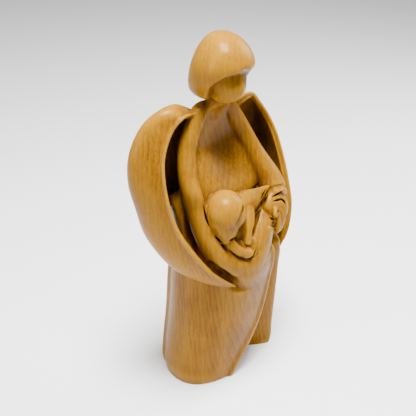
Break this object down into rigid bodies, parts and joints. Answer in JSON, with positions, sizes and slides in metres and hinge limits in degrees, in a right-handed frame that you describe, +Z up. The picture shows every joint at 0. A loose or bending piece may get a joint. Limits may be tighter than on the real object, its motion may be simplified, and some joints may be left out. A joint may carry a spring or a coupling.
{
  "type": "guardian angel statue",
  "caption": "Carved wooden guardian angel with folded wings, standing in a long robe and mantle and holding a small child in its arms.",
  "frame": {"origin": "on the flat underside, below the middle of the robe", "axes": "+Z up along the standing figure, -Y out of its front, +X towards its left hand"},
  "size_m": [0.0974, 0.0565, 0.2],
  "materials": {
    "lacquered_wood": "honey-brown wood with a soft-gloss clear lacquer"
  },
  "bodies": {
    "root": {"guardian_angel": "lacquered_wood"}
  },
  "joints": []
}
